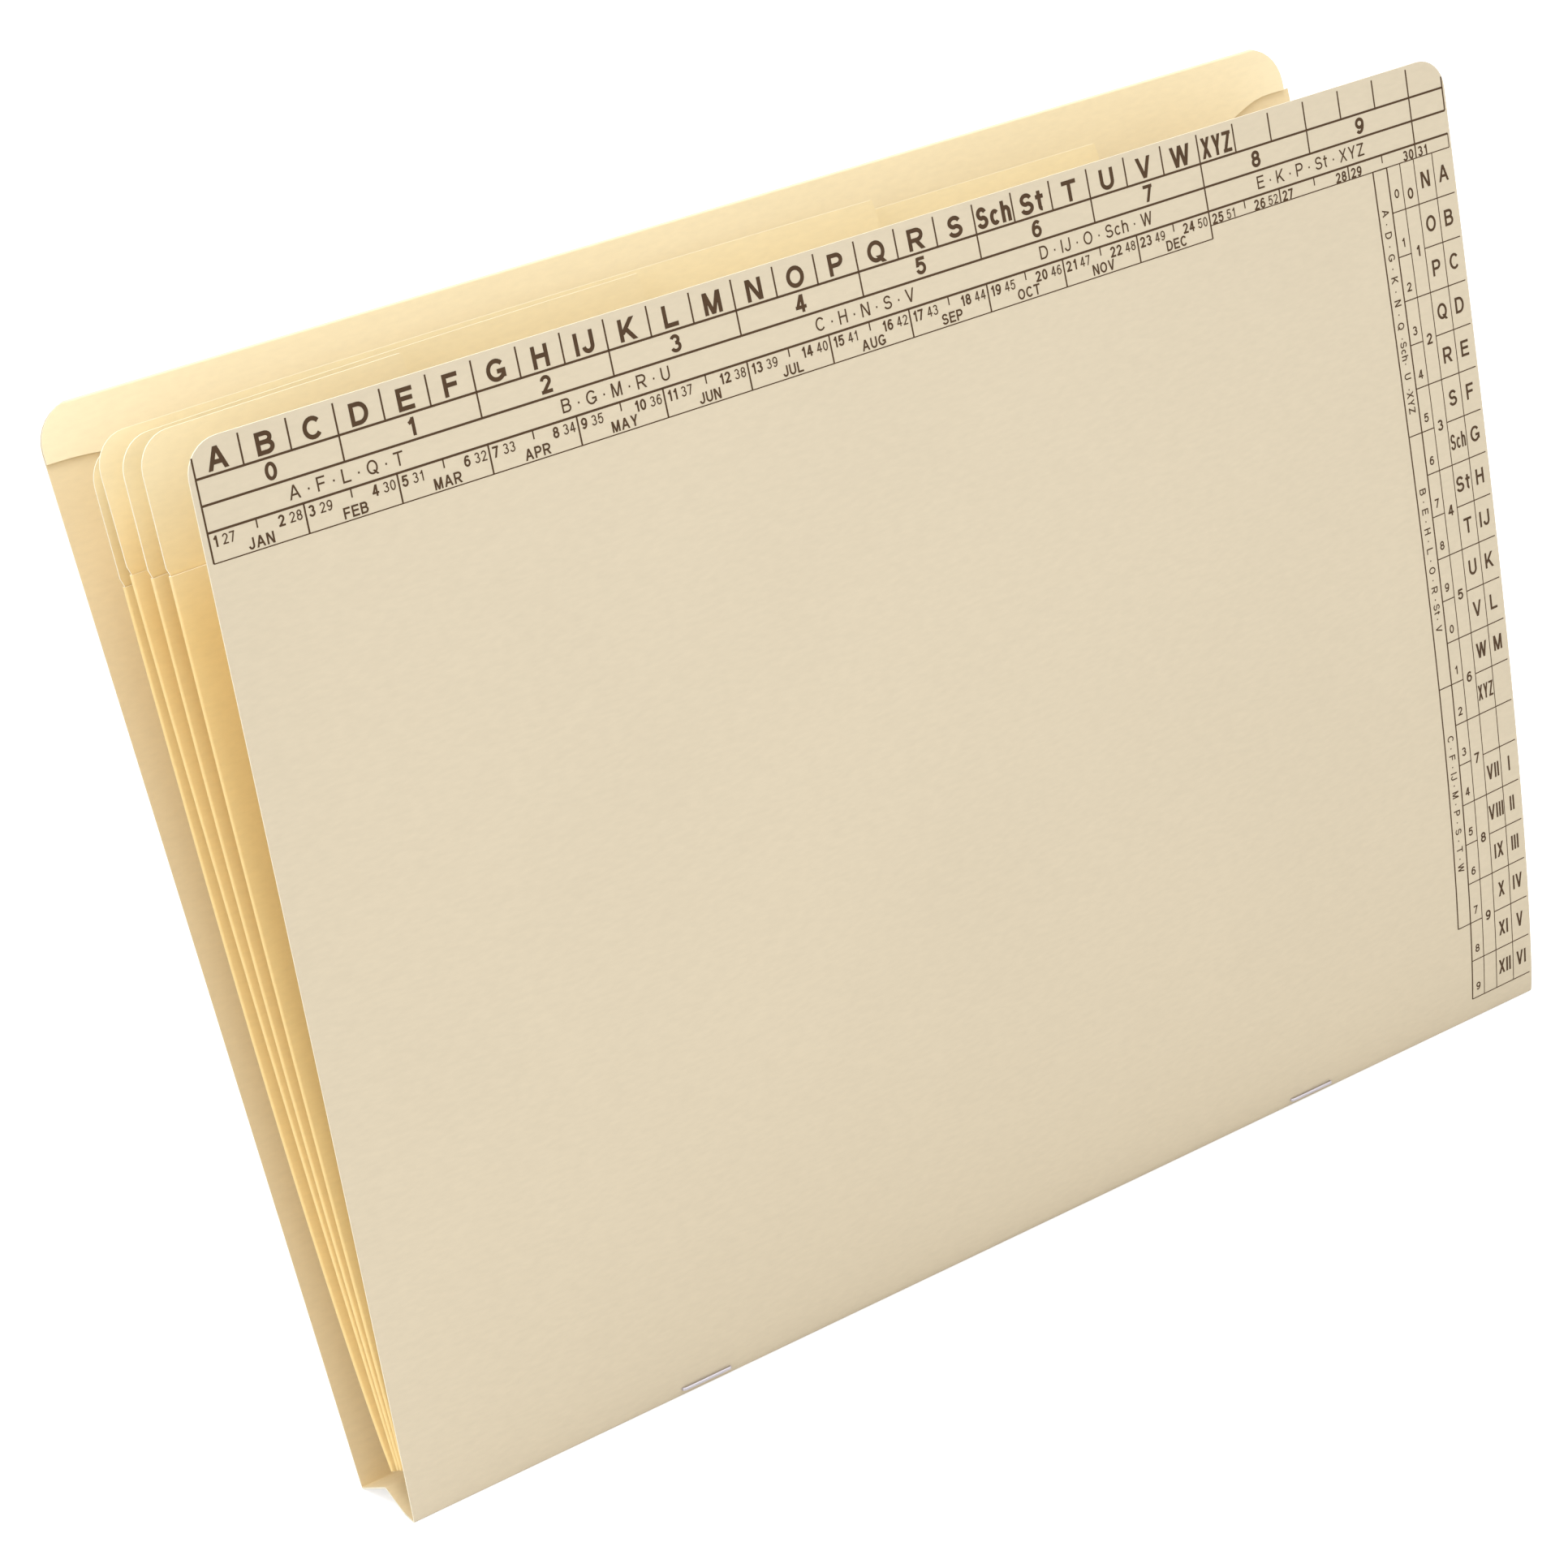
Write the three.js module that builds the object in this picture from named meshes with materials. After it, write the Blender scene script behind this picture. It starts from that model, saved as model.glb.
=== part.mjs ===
// Expanding file folder of manila card, standing on its base with the mouth up.
// Millimetres, +Z up, front at -Y, origin at the middle of the base on the floor.
// One folded cover sheet (front, base gusset, rear, hem), four tabbed divider pockets
// and the two staples that hold the dividers at the front fold.
import * as THREE from 'three';

// Card and cover
const card = 0.4;
const coverWidth = 350;
const coverHeight = 253.7;
const cornerRadius = 8;
const hemHeight = 12;
const hemGap = 0.35;

// Base gusset: the cover's folds stand on the floor, its ridge is raised between them
const baseDepth = 24.7;
const ridgeFromFront = 11.4;
const ridgeHeight = 5.1;
const sillDepth = 4.0;
const sillRise = 0.8;

// Stance and opening of the leaves: how far each top lies behind the front fold line
const standTilt = 1.5 * Math.PI / 180;
const frontTwist = 3.4;
const bellyLeft = 1.0;
const bellyRight = 4.4;
const bellyMiddle = 6.4;
const rearTopLeft = 75.3;
const rearTopRight = 58;

// Dividers: each is a flat pocket, its tall leaf ends in a tab, one fifth further each
const dividerInset = 0.5;
const pocketGap = 0.35;
const pocketDrop = 30;
const tabStep = 10;
const tabSlant = 1.5;
const footInset = 10;
const footPitch = 0.7;
const clearance = 0.3;
const footLift = 0.3;

// Per divider, first at the front: height of its pocket's foot, root (how far back the
// pocket starts), height of its tall leaf's top, how far back that top is at the left and
// right ends, and how much further back between them
const firstFoot = 12.4;
const firstRoot = 1.3;
const firstTop = 251.6;
const firstLeft = 24;
const firstRight = 11;
const firstMiddle = 9.5;
const secondFoot = 12;
const secondRoot = 2.9;
const secondTop = 249.6;
const secondLeft = 34;
const secondRight = 22.5;
const secondMiddle = 12;
const thirdFoot = 11.5;
const thirdRoot = 4.5;
const thirdTop = 248.6;
const thirdLeft = 46.5;
const thirdRight = 34.5;
const thirdMiddle = 7;
const fourthFoot = 10;
const fourthRoot = 7.4;
const fourthTop = 245;
const fourthLeft = 53.5;
const fourthRight = 46.5;
const fourthMiddle = 2.5;

// The curl is a share of each leaf's lean, and fades to curlRight at the right end
const dividers = [
  {
    name: 'divider_1', foot: firstFoot, root: firstRoot, top: firstTop,
    left: firstLeft, right: firstRight, middle: firstMiddle, curl: 0.08,
  },
  {
    name: 'divider_2', foot: secondFoot, root: secondRoot, top: secondTop,
    left: secondLeft, right: secondRight, middle: secondMiddle, curl: 0.11,
  },
  {
    name: 'divider_3', foot: thirdFoot, root: thirdRoot, top: thirdTop,
    left: thirdLeft, right: thirdRight, middle: thirdMiddle, curl: 0.06,
  },
  {
    name: 'divider_4', foot: fourthFoot, root: fourthRoot, top: fourthTop,
    left: fourthLeft, right: fourthRight, middle: fourthMiddle, curl: 0.12,
  },
];
const curlRight = 0.08;
const tabShift = 3.5;
const tabCount = dividers.length + 1;

// Staples
const stapleInset = 80;
const stapleLength = 14;
const stapleTall = 0.8;
const stapleWire = 0.45;
const stapleHeight = 2.15;
const stapleHoleSlack = 0.2;
const stapleClinch = 4;

// Grid
const columnStep = 26;
const frontRows = 14;
const pocketRows = 8;
const cornerSteps = 4;

const paper = new THREE.MeshStandardMaterial({ color: 0xe6dcc0, roughness: 0.85, metalness: 0 });
const inner = new THREE.MeshStandardMaterial({ color: 0xefdcae, roughness: 0.85, metalness: 0 });
const steel = new THREE.MeshStandardMaterial({ color: 0xc8c4cc, roughness: 0.35, metalness: 0.9 });

const staples = [
  { name: 'staple_1', x: stapleInset },
  { name: 'staple_2', x: coverWidth - stapleInset },
];

// A closed solid from a block of cells: columns along x, rows along the sheet, layers
// through it. place(i, j, k) gives a corner, filled(i, j, k) says whether a cell is card.
function cellSolid(ni, nj, nk, filled, place) {
  const ids = new Map();
  const positions = [];
  const index = [];
  const corner = (i, j, k) => {
    const key = (i * (nj + 1) + j) * (nk + 1) + k;
    if (!ids.has(key)) {
      ids.set(key, positions.length / 3);
      positions.push(...place(i, j, k));
    }
    return ids.get(key);
  };
  const has = (i, j, k) => {
    if (i < 0 || j < 0 || k < 0 || i >= ni || j >= nj || k >= nk) {
      return false;
    }
    return filled(i, j, k);
  };
  const quad = (a, b, c, d) => index.push(a, b, c, a, c, d);
  for (let i = 0; i < ni; i++) {
    for (let j = 0; j < nj; j++) {
      for (let k = 0; k < nk; k++) {
        if (!has(i, j, k)) {
          continue;
        }
        const v = (a, b, c) => corner(i + a, j + b, k + c);
        if (!has(i - 1, j, k)) quad(v(0, 0, 0), v(0, 0, 1), v(0, 1, 1), v(0, 1, 0));
        if (!has(i + 1, j, k)) quad(v(1, 0, 0), v(1, 1, 0), v(1, 1, 1), v(1, 0, 1));
        if (!has(i, j - 1, k)) quad(v(0, 0, 0), v(1, 0, 0), v(1, 0, 1), v(0, 0, 1));
        if (!has(i, j + 1, k)) quad(v(0, 1, 0), v(0, 1, 1), v(1, 1, 1), v(1, 1, 0));
        if (!has(i, j, k - 1)) quad(v(0, 0, 0), v(0, 1, 0), v(1, 1, 0), v(1, 0, 0));
        if (!has(i, j, k + 1)) quad(v(0, 0, 1), v(1, 0, 1), v(1, 1, 1), v(0, 1, 1));
      }
    }
  }
  let volume = 0;
  const at = (n) => new THREE.Vector3(positions[3 * n], positions[3 * n + 1], positions[3 * n + 2]);
  for (let n = 0; n < index.length; n += 3) {
    volume += at(index[n]).dot(at(index[n + 1]).cross(at(index[n + 2])));
  }
  if (volume < 0) {
    for (let n = 0; n < index.length; n += 3) {
      [index[n + 1], index[n + 2]] = [index[n + 2], index[n + 1]];
    }
  }
  const geometry = new THREE.BufferGeometry();
  geometry.setAttribute('position', new THREE.Float32BufferAttribute(positions, 3));
  geometry.setIndex(index);
  geometry.computeVertexNormals();
  return geometry;
}

// From the folder's own frame (x from the left end, up along the front cover's chord,
// back behind it, both from the front fold) to the frame it stands in.
function stand(x, up, back) {
  const y = back * Math.cos(standTilt) - up * Math.sin(standTilt);
  const z = back * Math.sin(standTilt) + up * Math.cos(standTilt);
  return [x - coverWidth / 2, y - baseDepth / 2, z];
}

// Back-set of a floor point in the folder's own frame, where the floor slopes.
function floorUp(back) {
  return -back * Math.tan(standTilt);
}

// Middle of the front cover: it leans out towards the right and bellies forward low down.
function frontBack(x, up) {
  const s = x / coverWidth;
  const t = Math.min(1, Math.max(0, up / coverHeight));
  const belly = bellyLeft * (1 - s) + bellyRight * s + 4 * bellyMiddle * s * (1 - s);
  return -(frontTwist * s * t + belly * Math.sin(Math.PI * Math.pow(t, 0.7)));
}

// Height of a sheet's top edge over its rounded corner; d is the distance from its side.
function roundedTop(top, d) {
  const c = Math.max(0, cornerRadius - d);
  return top - cornerRadius + Math.sqrt(Math.max(0, cornerRadius * cornerRadius - c * c));
}

// Column lines of a sheet from x0 to x1 with its corner arcs, plus the lines asked for.
function columnLines(x0, x1, extra) {
  const lines = [];
  for (let n = 0; n <= cornerSteps; n++) {
    const d = cornerRadius * (1 - Math.cos(Math.PI / 2 * n / cornerSteps));
    lines.push(x0 + d, x1 - d);
  }
  const span = x1 - x0 - 2 * cornerRadius;
  const count = Math.max(1, Math.round(span / columnStep));
  for (let n = 1; n < count; n++) {
    lines.push(x0 + cornerRadius + span * n / count);
  }
  const kept = lines.filter((x) => extra.every((e) => Math.abs(e - x) > 0.3));
  return [...kept, ...extra].sort((a, b) => a - b);
}

// Left and right edges of the slots that the staples' legs pass through.
const slotEdges = [];
for (const s of staples) {
  for (const side of [-1, 1]) {
    const leg = s.x + side * (stapleLength - stapleWire) / 2;
    const half = stapleWire / 2 + stapleHoleSlack;
    slotEdges.push([leg - half, leg + half]);
  }
}
const slotLow = stapleHeight - stapleTall / 2 - stapleHoleSlack - card * 0.4;
const slotHigh = stapleHeight + stapleTall / 2 + stapleHoleSlack;
const inSlot = (x) => slotEdges.some(([a, b]) => x > a && x < b);

// The cover: one polyline per column on the sheet's outer side, from the front's top
// edge down, under the base and up the rear to the hem, offset inward by the card.
function coverGeometry() {
  const xs = columnLines(0, coverWidth, slotEdges.flat());
  const frontUps = [];
  for (let n = 1; n < frontRows; n++) {
    frontUps.push(n / frontRows);
  }
  const rearRows = frontRows;
  const outline = (x) => {
    const d = Math.min(x, coverWidth - x);
    const s = x / coverWidth;
    const points = [];
    const top = roundedTop(coverHeight, d);
    const face = (up) => [frontBack(x, up) - card / 2, up];
    points.push(face(top));
    for (let n = frontUps.length - 1; n >= 0; n--) {
      points.push(face(top * frontUps[n]));
    }
    points.push(face(slotHigh), face(slotLow));
    const front = [-card / 2, floorUp(-card / 2)];
    const sill = [sillDepth, sillRise + floorUp(sillDepth)];
    const ridge = [ridgeFromFront, ridgeHeight + floorUp(ridgeFromFront) - card / 2];
    const rear = [baseDepth, floorUp(baseDepth)];
    points.push(front, sill, ridge, rear);
    const reach = rearTopLeft * (1 - s) + rearTopRight * s - baseDepth;
    const rise = Math.sqrt(coverHeight * coverHeight - reach * reach);
    const share = roundedTop(coverHeight, d) / coverHeight;
    const along = (t) => [rear[0] + reach * t, rear[1] + rise * t];
    const soft = card / coverHeight;
    for (let n = 1; n < rearRows; n++) {
      points.push(along((share - soft) * n / rearRows));
    }
    points.push(along(share - soft));
    const lean = [reach / coverHeight, rise / coverHeight];
    const wrap = 2 * card + hemGap;
    const edge = along(share);
    const step = (across, down) => [
      edge[0] - across * lean[1] - down * lean[0],
      edge[1] + across * lean[0] - down * lean[1],
    ];
    points.push(step(card * 0.6, 0), step(wrap - card * 0.6, 0), step(wrap, card));
    points.push(step(wrap, hemHeight / 2), step(wrap, hemHeight - (coverHeight - top)));
    return points;
  };
  const offset = (points) => points.map((p, n) => {
    const before = points[Math.max(0, n - 1)];
    const after = points[Math.min(points.length - 1, n + 1)];
    const normal = (a, b) => {
      const l = Math.hypot(b[0] - a[0], b[1] - a[1]);
      return [-(b[1] - a[1]) / l, (b[0] - a[0]) / l];
    };
    const n1 = n > 0 ? normal(before, p) : normal(p, after);
    const n2 = n < points.length - 1 ? normal(p, after) : n1;
    const k = card / (1 + n1[0] * n2[0] + n1[1] * n2[1]);
    return [p[0] + k * (n1[0] + n2[0]), p[1] + k * (n1[1] + n2[1])];
  });
  const outer = xs.map(outline);
  const innerSide = outer.map(offset);
  const rows = outer[0].length - 1;
  const slotRow = frontRows;
  const bendFirst = rows - 5;
  const filled = (i, j) => {
    const mid = (xs[i] + xs[i + 1]) / 2;
    if (j === slotRow && inSlot(mid)) {
      return false;
    }
    const overCorner = mid < cornerRadius || mid > coverWidth - cornerRadius;
    return !(overCorner && j >= bendFirst && j <= bendFirst + 2);
  };
  const place = (i, j, k) => {
    const p = k === 0 ? outer[i][j] : innerSide[i][j];
    return stand(xs[i], p[1], p[0]);
  };
  return cellSolid(xs.length - 1, rows, 1, filled, place);
}

// Top of the gusset's sill, the lowest place a divider's foot strip may reach.
function sillTop(back) {
  return sillRise * (back + card / 2) / (sillDepth + card / 2) + card * 1.05 + floorUp(back);
}

// Where the tall leaf of a divider is, measured back from the front fold.
function leafBack(divider, number, x, up) {
  const s = x / coverWidth;
  const strip = card / 2 + clearance + card / 2 + number * footPitch;
  const top = divider.left * (1 - s) + divider.right * s + 4 * divider.middle * s * (1 - s);
  if (up <= divider.foot) {
    const low = stapleHeight + stapleTall;
    const t = Math.min(1, Math.max(0, (up - low) / (divider.foot - low)));
    return strip + (divider.root - strip) * t;
  }
  const t = (up - divider.foot) / (divider.top - divider.foot);
  const curl = divider.curl * (1 - s) + curlRight * s;
  return divider.root + (top - divider.root) * (t + curl * Math.sin(Math.PI * t));
}

// A divider: foot strip, then a pocket of two leaves folded at both sides, the rear leaf
// standing taller with its tab. Layers from front to back: low leaf, gap, tall leaf.
function dividerGeometry(divider, number) {
  const x0 = dividerInset;
  const x1 = coverWidth - dividerInset;
  const tabEnd = (coverWidth + tabShift) * (number + 1) / tabCount - tabShift;
  const extra = [
    ...slotEdges.flat(), x0 + card, x1 - card, x0 + footInset, x1 - footInset,
    tabEnd, tabEnd + tabSlant,
  ];
  const xs = columnLines(x0, x1, extra);
  const foot = sillTop(card + clearance + number * footPitch + card / 2) + footLift;
  const low = divider.top - pocketDrop;
  const strip = [Math.min(foot, slotLow - 0.05), slotLow, slotHigh, divider.foot, divider.foot + card];
  const rows = [...strip];
  for (let n = 1; n <= pocketRows; n++) {
    rows.push(divider.foot + card + (low - divider.foot - card) * n / pocketRows);
  }
  const lowRow = rows.length - 1;
  const tallRows = 2;
  const height = (i, j) => {
    if (j <= lowRow) {
      return rows[j];
    }
    const d = Math.min(xs[i] - x0, x1 - xs[i]);
    const drop = xs[i] > tabEnd ? tabStep : 0;
    const top = roundedTop(divider.top - drop, d);
    return low + (top - low) * (j - lowRow) / tallRows;
  };
  const filled = (i, j, k) => {
    const mid = (xs[i] + xs[i + 1]) / 2;
    if (j < 3) {
      const inside = mid > x0 + footInset && mid < x1 - footInset;
      return k === 2 && inside && !(j === 1 && inSlot(mid));
    }
    if (k === 2 || j === 3) {
      return true;
    }
    if (j >= lowRow) {
      return false;
    }
    return k === 0 || mid < x0 + card || mid > x1 - card;
  };
  const place = (i, j, k) => {
    const up = height(i, j);
    const back = leafBack(divider, number, xs[i], up);
    const layer = [-card - pocketGap, -pocketGap, 0, card][k];
    return stand(xs[i], up, back - card / 2 + layer);
  };
  return cellSolid(xs.length - 1, rows.length - 1 + tallRows, 3, filled, place);
}

// A staple in plan: crown outside the front cover, two legs through the stack, their
// ends clinched inward behind the last foot strip.
function stapleGeometry(x) {
  const last = card + clearance + (dividers.length - 1) * footPitch + card / 2;
  const rear = last + clearance + stapleWire;
  const half = stapleLength / 2;
  const faces = [x - half, x, x + half].map((c) => frontBack(c, slotHigh) - card / 2);
  const front = Math.min(...faces) - clearance - stapleWire;
  const w = stapleWire;
  const shape = new THREE.Shape();
  shape.moveTo(-half, front);
  shape.lineTo(half, front);
  shape.lineTo(half, rear);
  shape.lineTo(half - stapleClinch, rear);
  shape.lineTo(half - stapleClinch, rear - w);
  shape.lineTo(half - w, rear - w);
  shape.lineTo(half - w, front + w);
  shape.lineTo(-half + w, front + w);
  shape.lineTo(-half + w, rear - w);
  shape.lineTo(-half + stapleClinch, rear - w);
  shape.lineTo(-half + stapleClinch, rear);
  shape.lineTo(-half, rear);
  shape.closePath();
  const geometry = new THREE.ExtrudeGeometry(shape, { depth: stapleTall, bevelEnabled: false });
  geometry.translate(0, 0, -stapleTall / 2);
  return geometry;
}

const folder = new THREE.Group();
folder.name = 'expanding_file_folder';

const cover = new THREE.Mesh(coverGeometry(), paper);
cover.name = 'outer_cover';
folder.add(cover);

dividers.forEach((divider, number) => {
  const mesh = new THREE.Mesh(dividerGeometry(divider, number), inner);
  mesh.name = divider.name;
  folder.add(mesh);
});

for (const s of staples) {
  const mesh = new THREE.Mesh(stapleGeometry(s.x), steel);
  mesh.name = s.name;
  const [x, y, z] = stand(s.x, stapleHeight, 0);
  mesh.position.set(x, y, z);
  mesh.rotation.x = standTilt;
  folder.add(mesh);
}

export default folder;
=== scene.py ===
"""Looks of the expanding file folder: one folded manila cover with a base gusset and a hem,
four tabbed divider pockets, two staples, and the printed index on the front cover.

Lengths are worked out in millimetres in the folder's own frame: x from the left end, up
along the front cover, back behind the front fold. stand() turns them into metres in the
frame that the folder stands in."""
import math

import bpy
import numpy as np
from mathutils import Matrix


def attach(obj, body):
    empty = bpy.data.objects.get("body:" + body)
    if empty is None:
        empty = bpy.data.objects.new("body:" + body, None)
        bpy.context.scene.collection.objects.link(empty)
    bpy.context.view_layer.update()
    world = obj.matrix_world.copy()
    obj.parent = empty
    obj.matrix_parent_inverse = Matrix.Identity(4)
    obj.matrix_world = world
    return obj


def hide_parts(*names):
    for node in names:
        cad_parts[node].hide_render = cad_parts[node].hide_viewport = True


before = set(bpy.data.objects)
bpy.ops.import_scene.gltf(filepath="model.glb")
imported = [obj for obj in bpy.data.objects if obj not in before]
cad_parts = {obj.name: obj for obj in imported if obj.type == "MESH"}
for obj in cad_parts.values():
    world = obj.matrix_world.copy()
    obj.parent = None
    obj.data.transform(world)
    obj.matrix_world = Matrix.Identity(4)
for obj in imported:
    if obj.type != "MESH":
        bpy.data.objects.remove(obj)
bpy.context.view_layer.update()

# Lengths in mm. CARD is the thickness of every sheet, WIDTH and HEIGHT are the front
# cover's, BASE_DEPTH is the way between the two lower folds, and REAR_RISE is how much
# taller the rear cover is drawn than its solid.
MM = 0.001
CARD = 0.4
CLEARANCE = 0.3
WIDTH = 350.0
HEIGHT = 253.7
TILT = math.radians(1.5)
BASE_DEPTH = 24.7
REAR_RISE = 3.3
REAR_REACH_LEFT, REAR_REACH_RIGHT = 75.3, 58.0
RIDGE_BACK, RIDGE_UP = 11.4, 5.05
SILL_BACK, SILL_UP = 4.0, 1.0
FRONT_CORNER = 8.0
REAR_CORNER = 10.0
HEM_DEPTH = 12.4
HEM_BELLY = 5.6
HEM_STEP = 1.8
HEM_GAP = 0.35
TWIST = 1.8
BELLY_LEFT, BELLY_RIGHT, BELLY_MIDDLE = 0.6, 4.0, 7.5
FOLD_STEPS = 6
COVER_COLUMNS = 140


def stand(x, up, back):
    """Folder's own frame in mm to metres: turned by TILT about the front fold, then moved so
    the middle of the base is the origin."""
    y = back * math.cos(TILT) - up * math.sin(TILT) - BASE_DEPTH / 2
    z = back * math.sin(TILT) + up * math.cos(TILT)
    return np.stack(np.broadcast_arrays(x - WIDTH / 2, y, z), axis=-1) * MM


def floor_up(back):
    """Height of the floor in the folder's own frame, where it slopes by TILT."""
    return -back * math.tan(TILT)


def front_back(x, up):
    """Middle of the front cover: a twist that grows with height towards the right, and a
    belly that is a sine of height, raised towards the middle of the width."""
    s = x / WIDTH
    t = np.clip(up / HEIGHT, 0.0, 1.0)
    belly = BELLY_LEFT * (1 - s) + BELLY_RIGHT * s + 4 * BELLY_MIDDLE * s * (1 - s)
    return -(TWIST * s * t + belly * np.sin(np.pi * t ** 0.7))


# Meshes
def put_mesh(name, points, faces, slots=None, materials=(), smooth=40.0):
    """A mesh object at the origin from an array of points and an array of faces."""
    mesh = bpy.data.meshes.new(name)
    mesh.from_pydata(points.reshape(-1, 3).tolist(), [], faces.tolist())
    for material in materials:
        mesh.materials.append(material)
    if slots is not None:
        mesh.polygons.foreach_set("material_index", slots)
    mesh.polygons.foreach_set("use_smooth", np.ones(len(mesh.polygons), bool))
    mesh.update()
    mesh.set_sharp_from_angle(angle=math.radians(smooth))
    piece = bpy.data.objects.new(name, mesh)
    bpy.context.scene.collection.objects.link(piece)
    return piece


def quads(ids, flip=False):
    """Quads between neighbours of a grid of point numbers, rows by columns."""
    a, b, c, d = ids[:-1, :-1], ids[:-1, 1:], ids[1:, 1:], ids[1:, :-1]
    order = (a, d, c, b) if flip else (a, b, c, d)
    return np.stack(order, axis=-1).reshape(-1, 4)


def sheet(middle, thickness=CARD * MM):
    """A sheet of even thickness: its middle is a grid of points, moved half the thickness
    to each side along the surface's normal, and closed along its four edges.
    Gives points, faces and slots: 0 the side away from the normal, 1 the side towards it,
    2 the cut edges."""
    across = np.gradient(middle, axis=1)
    down = np.gradient(middle, axis=0)
    normal = np.cross(across, down)
    normal /= np.linalg.norm(normal, axis=-1, keepdims=True)
    rows, columns = middle.shape[:2]
    points = np.concatenate([
        (middle - normal * thickness / 2).reshape(-1, 3),
        (middle + normal * thickness / 2).reshape(-1, 3),
    ])
    outer = np.arange(rows * columns).reshape(rows, columns)
    inner = outer + rows * columns
    sides = [
        quads(outer, True),
        quads(inner),
        np.stack([outer[:-1, 0], inner[:-1, 0], inner[1:, 0], outer[1:, 0]], axis=-1),
        np.stack([outer[:-1, -1], outer[1:, -1], inner[1:, -1], inner[:-1, -1]], axis=-1),
        np.stack([outer[0, :-1], outer[0, 1:], inner[0, 1:], inner[0, :-1]], axis=-1),
        np.stack([outer[-1, :-1], inner[-1, :-1], inner[-1, 1:], outer[-1, 1:]], axis=-1),
    ]
    slots = np.concatenate([
        np.full(len(f), n, np.int32) for n, f in zip((0, 1, 2, 2, 2, 2), sides)
    ])
    return points, np.concatenate(sides), slots


def joined(parts):
    """Several (points, faces, slots) as one, with the face numbers moved on."""
    points, faces, slots, first = [], [], [], 0
    for p, f, s in parts:
        points.append(p)
        faces.append(f + first)
        slots.append(s)
        first += len(p)
    return np.concatenate(points), np.concatenate(faces), np.concatenate(slots)


def fillet(before, corner, after, reach):
    """A rounded corner for every column at once: a quadratic curve that leaves the first
    leg and joins the second one the given reach from the corner."""
    toward = lambda p: (p - corner) / np.linalg.norm(p - corner, axis=-1, keepdims=True)
    a = corner + toward(before) * reach
    b = corner + toward(after) * reach
    t = np.linspace(0, 1, FOLD_STEPS + 1)[:, None, None]
    return (1 - t) ** 2 * a + 2 * t * (1 - t) * corner + t ** 2 * b


def legs(a, b, count):
    """Rows from a to b, both left out, for every column at once."""
    t = (np.arange(1, count) / count)[:, None, None]
    return a + (b - a) * t


def corner_rows(radius, steps=8):
    """Distances from an edge at which a quarter circle's points lie."""
    return radius * (1 - np.cos(np.linspace(0, math.pi / 2, steps + 1)))


def corner_inset(distance, radius):
    """How far a rounded corner's side is drawn in, at a distance from the edge."""
    c = np.clip(radius - distance, 0, radius)
    return radius - np.sqrt(radius * radius - c * c)


# Materials
def linear(rgb):
    """Eight-bit display colour to the linear value a shader takes."""
    c = np.array(rgb, float) / 255
    low = c / 12.92
    high = ((c + 0.055) / 1.055) ** 2.4
    return tuple(np.where(c <= 0.04045, low, high)) + (1.0,)


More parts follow.
